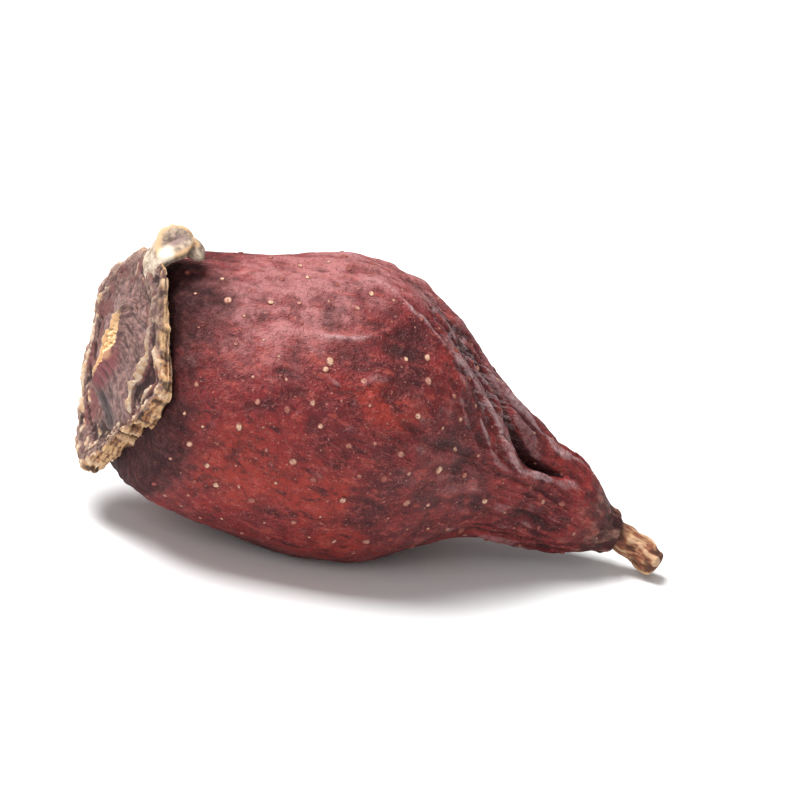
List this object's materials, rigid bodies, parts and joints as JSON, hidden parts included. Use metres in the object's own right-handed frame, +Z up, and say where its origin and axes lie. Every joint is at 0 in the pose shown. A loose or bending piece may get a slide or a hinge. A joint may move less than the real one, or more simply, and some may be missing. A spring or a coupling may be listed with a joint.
{
  "type": "dried cherokee rose hip",
  "caption": "Dried pear-shaped rose hip lying on its side, with a ragged calyx disc and style tuft at the wide end and a wrinkled neck ending in a stalk stub.",
  "frame": {"origin": "centre of the small flat spot on the belly that the hip rests on, at floor level", "axes": "+Z up from the floor; +X along the length of the hip towards the stalk, so the calyx end faces -X; -Y is the side with the deep pleat in the neck"},
  "size_m": [0.0344, 0.0163, 0.0178],
  "materials": {
    "dried_skin": "matt maroon dried skin with a greyish bloom, orange-red patches and pale bristle scars",
    "calyx_scale": "dry grey-brown scaly tissue with paler torn edges",
    "nectary_skin": "dried reddish-purple skin with fine radial streaks",
    "style_tuft": "pale straw-coloured woolly style tips",
    "sepal_root": "pale cream-grey dry broken tissue",
    "stalk_wood": "tan-brown ridged bark with a rough paler broken end"
  },
  "bodies": {
    "root": {"hip_body": "dried_skin", "calyx_plate": "calyx_scale", "nectary_dome": "nectary_skin", "style_plug": "style_tuft", "sepal_stub": "sepal_root", "stalk_stub": "stalk_wood"}
  },
  "joints": []
}
